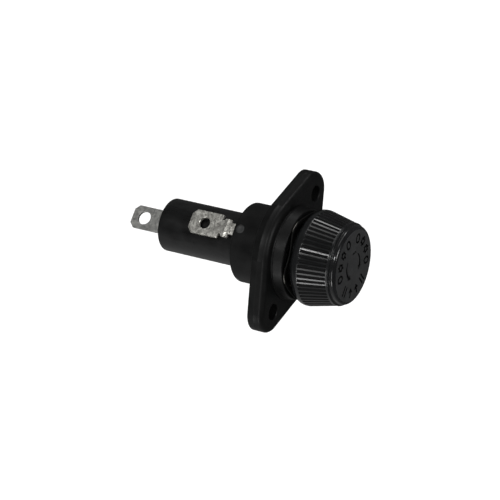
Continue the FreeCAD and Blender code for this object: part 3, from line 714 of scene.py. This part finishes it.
def make_knob():
    """Hollow cap: plain round rim, fluted cone, stepped nose and a flat face with engraved marks."""
    rear = KNOB_HIGH.y
    face = KNOB_LOW.y
    flat_radius = KNOB_LEDGE_RADIUS - KNOB_EDGE_ROUND
    inside = rounded([
        (KNOB_POCKET_RADIUS, KNOB_POCKET_FLOOR, 0),
        (KNOB_POCKET_RADIUS, STEM_FRONT, 0),
        (KNOB_STEM_RADIUS, STEM_FRONT, 0),
        (KNOB_STEM_RADIUS, KNOB_RECESS_FLOOR, 0),
        (KNOB_RECESS_RADIUS, KNOB_RECESS_FLOOR, 0.2),
        (KNOB_RECESS_RADIUS, rear, 0.25),
        (KNOB_HIGH.x, rear, KNOB_RIM_ROUND),
        (KNOB_HIGH.x, CONE_REAR, 0)], closed=False, pieces=8)
    rows = 30
    stations = [FLUTE_REAR + (FLUTE_FRONT - FLUTE_REAR) * step / rows for step in range(rows + 1)]
    flutes = [(knob_radius(along), along) for along in stations]
    nose = rounded([
        (knob_radius(FLUTE_FRONT) - 0.01, FLUTE_FRONT - 0.05, 0),
        (knob_radius(FLUTE_FRONT) - 0.03, KNOB_FRONT - 0.05, 0.16),
        (KNOB_LEDGE_RADIUS, KNOB_FRONT - 0.25, 0.12),
        (KNOB_LEDGE_RADIUS, face, KNOB_EDGE_ROUND),
        (flat_radius - 0.05, face, 0)], closed=False, pieces=8)
    middle = [(radius, face) for radius in (9.0, 6.0, 3.0, 0)]
    first_flute_row = 1 + len(inside)
    flute_rows = range(first_flute_row, first_flute_row + len(flutes))

    def depth(row, along, angle):
        share = (FLUTE_REAR - along) / (FLUTE_REAR - FLUTE_FRONT)
        return flute_depth_at(angle, share) if row in flute_rows else 0.0

    knob = turned("knob_moulding", [(0, KNOB_POCKET_FLOOR)] + inside + flutes + nose + middle,
                  steps=FLUTE_COUNT * 18, closed=False, depth=depth)
    combine(knob, make_knob_marks(face))
    paint(knob, "knob_moulding", "knob_face", "knob_groove")
    plain, flat, sunk = range(3)
    for polygon in knob.data.polygons:
        centre = polygon.center / MM
        reach = math.hypot(centre.x, centre.z)
        on_front = reach < flat_radius + 0.02
        # The flat face takes the lighter face finish: painted sheen.
        if on_front and centre.y < face + 0.01:
            polygon.material_index = flat
        # Engraved marks and flute grooves take the darker groove finish: painted shade in the recesses.
        elif on_front and centre.y < face + KNOB_MARK_DEPTH + 0.01:
            polygon.material_index = sunk
        elif FLUTE_FRONT < centre.y < FLUTE_REAR and 0.06 < knob_radius(centre.y) - reach < 0.6:
            polygon.material_index = sunk
        else:
            polygon.material_index = plain
    flatten(knob, Vector((0, -1, 0)), lambda centre: centre.y < face + 0.01)
    place(knob, "knob", "knob_moulding", "knob_cap")


def mark_solid(points, holes, face):
    """A cutter for one engraved mark, its outline given in the face's plane."""
    return slab("mark", points, holes, face - 0.5, face + KNOB_MARK_DEPTH, plane="XZ", edge=0.0)


def turned_about(points, angle, radius):
    """Move marks drawn upright at the origin out to a radius, tops outward."""
    placed = []
    for across, up in points:
        reach = radius + up
        placed.append((reach * math.cos(angle) + across * math.sin(angle),
                       reach * math.sin(angle) - across * math.cos(angle)))
    return placed


def bar(low, high):
    """An upright rectangle's four corners."""
    return [(low[0], low[1]), (high[0], low[1]), (high[0], high[1]), (low[0], high[1])]


def make_knob_marks(face):
    """Generic marks in place of words: fuse symbols, push arrows and two turn arrows."""
    stroke = 0.56
    mark_radius = 7.45
    turn_radius = 3.7
    half_height = 1.5
    marks = []

    def add(points, angle, holes=()):
        outline = turned_about(points, angle, mark_radius)
        marks.append(mark_solid(outline, [turned_about(hole, angle, mark_radius) for hole in holes], face))

    def fuse_symbol(angle):
        side = 1.05
        top = 0.95
        window = bar((-side + stroke, -top + stroke), (side - stroke, top - stroke))
        add(bar((-side, -top), (side, top)), angle, [window])
        for low, high in ((-half_height, -top + 0.1), (top - 0.1, half_height)):
            add(bar((-stroke / 2, low), (stroke / 2, high)), angle)

    def oval(radius, tall):
        return [(across, up * tall) for across, up in arc_points((0, 0), radius, 0, FULL_TURN, 28)[:-1]]

    def ring(angle):
        radius = 1.15
        add(oval(radius, 1.25), angle, [oval(radius - stroke, 1.5)])

    def push_arrow(angle):
        add([(-stroke / 2, half_height), (-stroke / 2, 0), (-1.1, 0), (0, -half_height),
             (1.1, 0), (stroke / 2, 0), (stroke / 2, half_height)], angle)

    def double_bar(angle):
        for across in (-0.6, 0.6):
            add(bar((across - stroke / 2, -half_height), (across + stroke / 2, half_height)), angle)

    fuse_group = ((-39, ring), (-13, fuse_symbol), (13, fuse_symbol), (39, ring))
    push_group = ((-40, double_bar), (-13, push_arrow), (13, push_arrow), (40, double_bar))
    for middle, group in ((-17, fuse_group), (103, fuse_group), (223, push_group)):
        for offset, draw in group:
            draw(math.radians(middle + offset))
    for start, stop in ((0, -88), (98, 200)):
        marks.append(mark_solid(turn_arrow(turn_radius, math.radians(start), math.radians(stop)), [], face))
    tick = [(2.0, 2.35), (2.32, 2.73), (3.85, 1.45), (3.53, 1.07)]
    marks.append(mark_solid(tick, [], face))
    return marks


def turn_arrow(radius, start, stop):
    """A curved arrow that widens from its tail to its head, as one outline."""
    tail = 0.16
    neck = 0.42
    head = 0.95
    head_turn = 1.5 / radius
    swing = 1 if stop > start else -1
    base = stop - swing * head_turn
    pieces = 20
    outer = []
    inner = []
    for step in range(pieces + 1):
        share = step / pieces
        angle = start + (base - start) * share
        half = tail + (neck - tail) * share
        outer.append(((radius + half) * math.cos(angle), (radius + half) * math.sin(angle)))
        inner.append(((radius - half) * math.cos(angle), (radius - half) * math.sin(angle)))
    tip = [((radius + across) * math.cos(angle), (radius + across) * math.sin(angle))
           for across, angle in ((head, base), (0, stop), (-head, base))]
    return outer + tip + inner[::-1]


# ------------------------------------------------------------------ terminals


def strip(name, stations, low, high, shape, columns=20, edge=SHEET_EDGE):
    """A sheet-metal strip along Y from (along, half-width) stations; shape(x, y) lifts it in Z."""
    eased = edge * 0.3
    rings = []
    for along, half in stations:
        flat = half - edge
        across = [-flat + 2 * flat * step / columns for step in range(columns + 1)]
        side = [(half - eased, high - eased), (half, high - edge),
                (half, low + edge), (half - eased, low + eased)]
        ring = [(x, high) for x in across] + side
        ring += [(-x, low) for x in across] + [(-x, z) for x, z in reversed(side)]
        rings.append([(x, along, z + shape(x, along)) for x, z in ring])
    return lofted(name, rings, capped=True)


def run_of(start, stop, first_half, last_half, pieces):
    """Stations from start to stop with the half-width changing evenly."""
    return [(start + (stop - start) * step / pieces, first_half + (last_half - first_half) * step / pieces)
            for step in range(pieces + 1)]


def make_side_terminal():
    """Ring inside the sleeve, and a lug whose crimped ears were bent when it was locked in place."""
    low = LUG_HIGH.z - METAL_THICK
    high = LUG_HIGH.z
    tip = LUG_HIGH.y
    bend_front = 11.2
    bend_rear = 14.35
    droop = 1.6

    def ears(x, along):
        rise = 0.0
        if bend_front < along < bend_rear:
            hump = math.sin(math.pi * (along - bend_front) / (bend_rear - bend_front))
            bend = -0.3 if x < 0 else -0.42
            rise += hump * bend * max(0.0, abs(x) - 1.5)
            rise += 0.2 * hump + 0.05 * math.sin(4.0 * along)
        if along > tip - droop:
            rise -= 0.06 * (along - tip + droop) ** 2
        return rise

    stations = run_of(LUG_LOW.y + 0.3, 11.45, LUG_NECK_HALF, LUG_NECK_HALF, 6)
    stations += run_of(11.6, 12.0, LUG_BAR_HALF - 0.25, LUG_BAR_HALF, 3)
    stations += run_of(12.15, 13.5, LUG_BAR_HALF, LUG_BAR_HALF, 9)
    stations += run_of(13.62, 13.74, LUG_BAR_HALF - 0.03, LUG_BAR_HALF - 0.15, 2)
    stations += run_of(13.82, 14.52, LUG_WAIST_HALF, LUG_WAIST_HALF, 4)
    stations += run_of(14.6, 14.75, LUG_PAD_HALF - 0.175, LUG_PAD_HALF, 2)
    stations += run_of(15.0, tip - LUG_CORNER, LUG_PAD_HALF, LUG_PAD_HALF, 10)
    stations += run_of(tip - 1.1, tip, LUG_PAD_HALF - 0.2, LUG_PAD_HALF - LUG_CORNER, 6)
    lug = strip("side_lug", stations, low, high, ears)
    eased = 0.12
    hole = turned("lug_hole_cutter", [
        (0, low - 1), (LUG_HOLE_RADIUS, low - 1), (LUG_HOLE_RADIUS, high - eased),
        (LUG_HOLE_RADIUS + eased, high), (LUG_HOLE_RADIUS + eased, high + 1), (0, high + 1)],
        steps=48, closed=False)
    turn_up(hole, (0, LUG_HOLE_ALONG, 0))
    combine(lug, [hole])
    inner = SHELL_LIP_RADIUS
    outer = 9.2
    front = LUG_LOW.y
    rear = front + METAL_THICK
    ring = turned("contact_ring", rounded([
        (inner, front, 0.08), (outer, front, 0.08), (outer, rear, 0.08), (inner, rear, 0.08)]))
    lug = combine(lug, [ring], "UNION")
    paint(lug, "tinned_brass")
    place(lug, "housing", "tinned_brass", "side_terminal")


def make_rear_terminal():
    """Blade with cut corners and a wire hole, and the foot it stands on inside the barrel."""
    half = BLADE_HIGH.x
    front = BLADE_LOW.y
    tip = BLADE_HIGH.y
    thick = BLADE_HALF_THICK
    cut = half - BLADE_CORNER
    hole = arc_points((0, BLADE_HOLE_ALONG), BLADE_HOLE_RADIUS, 0, FULL_TURN, 64)[:-1]
    blade = slab("rear_blade", [
        (-half, front), (half, front), (half, tip - BLADE_CORNER), (cut, tip),
        (-cut, tip), (-half, tip - BLADE_CORNER)], [hole], -thick, thick, edge=SHEET_EDGE)
    foot_side = 2.6
    foot_top = 4.4
    foot_corner = 1.6
    foot_outline = [
        (-half, -thick), (half, -thick), (half, foot_side), (half - foot_corner, foot_top),
        (-half + foot_corner, foot_top), (-half, foot_side)]
    foot = slab("blade_foot", foot_outline, [], front, front + METAL_THICK, plane="XZ", edge=SHEET_EDGE)
    combine(blade, [foot], "UNION")
    paint(blade, "tinned_brass_dull")
    place(blade, "housing", "tinned_brass_dull", "rear_terminal")


# ------------------------------------------------------------------ pieces inside


def make_shell():
    """Plated bayonet shell with its turned-in rear lip and three nibs."""
    wall_in = SHELL_RADIUS - SHELL_WALL
    front = SHELL_LOW.y
    rear = SHELL_HIGH.y
    shell = turned("bayonet_shell_plated", rounded([
        (wall_in, front, 0.15),
        (SHELL_RADIUS, front, 0.2),
        (SHELL_RADIUS, rear, 0.4),
        (SHELL_LIP_RADIUS, rear, 0.1),
        (SHELL_LIP_RADIUS, rear - SHELL_WALL, 0.1),
        (wall_in, rear - SHELL_WALL, 0.3)]))
    half_turn = NIB_HALF_WIDTH / NIB_MIDDLE_RADIUS
    nib = rounded([
        (NIB_RADIUS, NIB_FRONT, 0.2), (wall_in + 0.2, NIB_FRONT, 0),
        (wall_in + 0.2, NIB_REAR, 0), (NIB_RADIUS, NIB_REAR, 0.2)])
    nibs = [turned("nib", nib, steps=10, start=angle - half_turn, sweep=2 * half_turn)
            for angle in NIB_ANGLES]
    combine(shell, nibs, "UNION")
    paint(shell, "plated_brass")
    place(shell, "housing", "plated_brass", "bayonet_shell")


def make_wave_spring():
    """A thin ring with five waves, crests towards the collar at 0, 72, 144 degrees and on."""
    inner = 11.1
    outer = WAVE_HIGH.x
    thick = 0.3
    waves = 5
    middle = (WAVE_LOW.y + WAVE_HIGH.y) / 2
    swing = (WAVE_HIGH.y - WAVE_LOW.y - thick) / 2
    section = rounded([
        (inner, -thick / 2, 0.07), (outer, -thick / 2, 0.07),
        (outer, thick / 2, 0.07), (inner, thick / 2, 0.07)], pieces=3)
    steps = 360
    rings = []
    for step in range(steps):
        angle = FULL_TURN * step / steps
        lift = middle + swing * math.cos(waves * angle)
        rings.append([(radius * math.cos(angle), along + lift, radius * math.sin(angle))
                      for radius, along in section])
    spring = lofted("wave_spring_ring", rings)
    # This finish paints shade over the whole ring and glints on its rear crests.
    paint(spring, "dark_spring_steel")
    place(spring, "housing", "dark_spring_steel", "wave_spring")
    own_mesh(spring)


def make_contact_spring():
    """Round-wire coil with near-closed ends between the plunger and its seat."""
    wire = 0.4
    reach = COIL_HIGH.x - wire
    front = COIL_LOW.y + wire
    span = COIL_HIGH.y - wire - front
    turns = 6
    closed = 0.75
    steps = 72
    sides = 14
    rings = []
    for step in range(int(steps * (turns + 2 * closed)) + 1):
        turn = step / steps - closed
        share = min(1.0, max(0.0, turn / turns))
        eased = share * share * (3 - 2 * share)
        along = front + span * (0.85 * share + 0.15 * eased)
        angle = FULL_TURN * turn
        outward = Vector((math.cos(angle), 0, math.sin(angle)))
        middle = outward * reach + Vector((0, along, 0))
        ring = []
        for side in range(sides):
            swing = FULL_TURN * side / sides
            aside = Vector((0, wire * math.sin(swing), 0))
            ring.append(tuple(middle + outward * wire * math.cos(swing) + aside))
        rings.append(ring)
    coil = lofted("contact_spring_coil", rings, capped=True)
    paint(coil, "spring_steel")
    place(coil, "plunger", "spring_steel", "contact_spring")
    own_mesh(coil)


def make_plunger():
    """Drawn cup whose closed front presses on the fuse."""
    front = PLUNGER_LOW.y
    rear = PLUNGER_HIGH.y
    radius = PLUNGER_HIGH.x
    wall = 0.5
    cup = turned("plunger_cup", rounded([
        (0, front, 0),
        (radius - 0.8, front, 0.3),
        (radius, front + 0.5, 0.3),
        (radius, rear, 0.15),
        (radius - wall, rear, 0.15),
        (radius - wall, front + 0.9, 0.3),
        (0, front + 0.7, 0)], closed=False))
    paint(cup, "plated_brass")
    place(cup, "plunger", "plated_brass", "contact_plunger")


def make_fuse_cap(name, node, radius, closed_end, open_end):
    """Tinned end cap with a rolled groove near its open end."""
    inward = 1 if open_end > closed_end else -1
    bore = TUBE_HIGH.x + 0.01
    cap = turned(name, rounded([
        (0, closed_end, 0),
        (radius, closed_end, 0.5),
        (radius, open_end - inward * 2.1, 0.15),
        (radius - 0.12, open_end - inward * 1.8, 0.2),
        (radius, open_end - inward * 1.5, 0.15),
        (radius, open_end, 0.1),
        (bore, open_end, 0.08),
        (bore, closed_end + inward * 0.6, 0),
        (0, closed_end + inward * 0.6, 0)], closed=False))
    paint(cap, "fuse_cap_metal")
    place(cap, "fuse", "fuse_cap_metal", node)


def make_fuse():
    """The cartridge's two end caps and the fibre tube they are crimped on."""
    make_fuse_cap("fuse_cap_front_tinned", "fuse_cap_front", FRONT_CAP_HIGH.x,
                  closed_end=FRONT_CAP_LOW.y, open_end=FRONT_CAP_HIGH.y)
    make_fuse_cap("fuse_cap_rear_tinned", "fuse_cap_rear", REAR_CAP_HIGH.x,
                  closed_end=REAR_CAP_HIGH.y, open_end=REAR_CAP_LOW.y)
    inner = 3.6
    outer = TUBE_HIGH.x
    front = TUBE_LOW.y
    rear = TUBE_HIGH.y
    tube = turned("fuse_tube_fibre", rounded([
        (inner, front, 0.1), (outer, front, 0.15), (outer, rear, 0.15), (inner, rear, 0.1)]))
    paint(tube, "fuse_tube_fibre")
    place(tube, "fuse", "fuse_tube_fibre", "fuse_tube")


def dress_carried_nodes():
    """Pieces whose CAD shape is already right keep it and get a finish."""
    for node, name in (("knob_stem", "stem_moulding"), ("clip_rivet", "plated_brass"),
                       ("fuse_clip", "clip_bronze"), ("rear_retainer", "tinned_brass_dull"),
                       ("spring_seat", "plated_brass"), ("fuse_disc_front", "fuse_disc_fibre"),
                       ("fuse_disc_rear", "fuse_disc_fibre"), ("fuse_element", "fuse_link"),
                       ("fuse_filler", "quartz_filler")):
        carried = frame["nodes"][node]
        carried.data.materials.clear()
        carried.data.materials.append(MATERIALS[name])


# ------------------------------------------------------------------ floor, light and camera


def make_floor():
    """A wide pale floor below the part, kept out of its reflections."""
    size = 3.0
    drop = 0.16
    floor = bpy.data.objects.new("studio_floor", bpy.data.meshes.new("studio_floor"))
    floor.data.from_pydata([(-size, -size, 0), (size, -size, 0), (size, size, 0), (-size, size, 0)],
                           [], [(0, 1, 2, 3)])
    floor.location.z = -drop
    floor.visible_glossy = False
    bpy.context.scene.collection.objects.link(floor)
    look = Look("studio_floor", (0.93, 0.93, 0.93), 0.9, specular=0.1)
    grain = look.noise(120.0, 2.0)
    look.colour(look.mix(grain, (0.92, 0.92, 0.92), (0.94, 0.94, 0.94)))
    floor.data.materials.append(look.material)


def soft_light(name, toward, distance, size, radiance):
    """A rectangular softbox seen from the part in one direction, its first side along the holder."""
    data = bpy.data.lights.new(name, "AREA")
    data.shape = "RECTANGLE"
    data.size = size[0]
    data.size_y = size[1]
    data.energy = radiance * math.pi * size[0] * size[1]
    light = bpy.data.objects.new(name, data)
    back = Vector(toward).normalized()
    along = Vector((0, 1, 0))
    first = (along - back * along.dot(back)).normalized()
    turn = Matrix((first, back.cross(first), back)).transposed().to_4x4()
    light.matrix_world = Matrix.Translation(back * distance) @ turn
    bpy.context.scene.collection.objects.link(light)


def make_lights():
    """Pale surroundings that stay dim in reflections except from below and behind, and six softboxes."""
    bright_side = Vector((-0.74, 0.45, -0.51)).normalized()
    seen_level = 0.8
    mirrored_dim = 0.08
    mirrored_bright = 0.4
    world = bpy.data.worlds.new("studio")
    world.use_nodes = True
    nodes = world.node_tree.nodes
    background = nodes["Background"]
    background.inputs["Color"].default_value = (1, 1, 1, 1)
    ray = nodes.new("ShaderNodeLightPath")
    direction = nodes.new("ShaderNodeTexCoord")
    facing = nodes.new("ShaderNodeVectorMath")
    facing.operation = "DOT_PRODUCT"
    facing.inputs[1].default_value = bright_side
    mirrored = nodes.new("ShaderNodeMapRange")
    level = nodes.new("ShaderNodeMix")
    links = world.node_tree.links
    links.new(direction.outputs["Generated"], facing.inputs[0])
    links.new(facing.outputs["Value"], mirrored.inputs["Value"])
    for socket, number in (("From Min", 0.55), ("From Max", 1.0),
                           ("To Min", mirrored_dim), ("To Max", mirrored_bright)):
        mirrored.inputs[socket].default_value = number
    level.inputs["A"].default_value = seen_level
    links.new(ray.outputs["Is Glossy Ray"], level.inputs["Factor"])
    links.new(mirrored.outputs["Result"], level.inputs["B"])
    links.new(level.outputs["Result"], background.inputs["Strength"])
    bpy.context.scene.world = world
    soft_light("overhead", (-0.126, 0.05, 0.99), 0.8, (0.16, 0.07), 40.0)
    soft_light("upper_side", (0.94, 0.15, 0.31), 0.9, (0.16, 0.2), 7.0)
    soft_light("upper_glow", (0.72, 0.14, 0.68), 0.9, (0.16, 0.6), 2.2)
    soft_light("lower_side", (-0.965, 0.11, 0.22), 0.9, (0.16, 0.2), 12.0)
    soft_light("lower_glow", (-0.8, 0.11, 0.58), 0.9, (0.16, 0.35), 4.8)
    soft_light("front", (0.12, -0.87, 0.47), 0.9, (0.3, 0.3), 9.0)
    bpy.context.scene.view_settings.view_transform = "Standard"


def make_camera():
    """A long lens looking down on the knob from its right, rolled so that +X points up."""
    toward = Vector((-0.2349, -0.4475, 0.8629)).normalized()
    picture_up = Vector((0.9145, 0.1992, 0.3523))
    distance = 0.564
    flange_front = Vector((0, -FLANGE_THICK * MM, 0))
    aim = Vector((-3.37, 5.92, 4.59)) * MM
    eye = flange_front + toward * distance
    back = (eye - aim).normalized()
    right = picture_up.cross(back).normalized()
    up = back.cross(right)
    data = bpy.data.cameras.new("camera")
    data.sensor_width = 36.0
    data.lens = 150.2
    data.clip_start = 0.01
    camera = bpy.data.objects.new("camera", data)
    camera.matrix_world = Matrix.Translation(eye) @ Matrix((right, up, back)).transposed().to_4x4()
    bpy.context.scene.collection.objects.link(camera)
    bpy.context.scene.camera = camera


make_housing()
make_barrel()
make_knob()
make_side_terminal()
make_rear_terminal()
make_shell()
make_wave_spring()
make_contact_spring()
make_plunger()
make_fuse()
dress_carried_nodes()
make_floor()
make_lights()
make_camera()
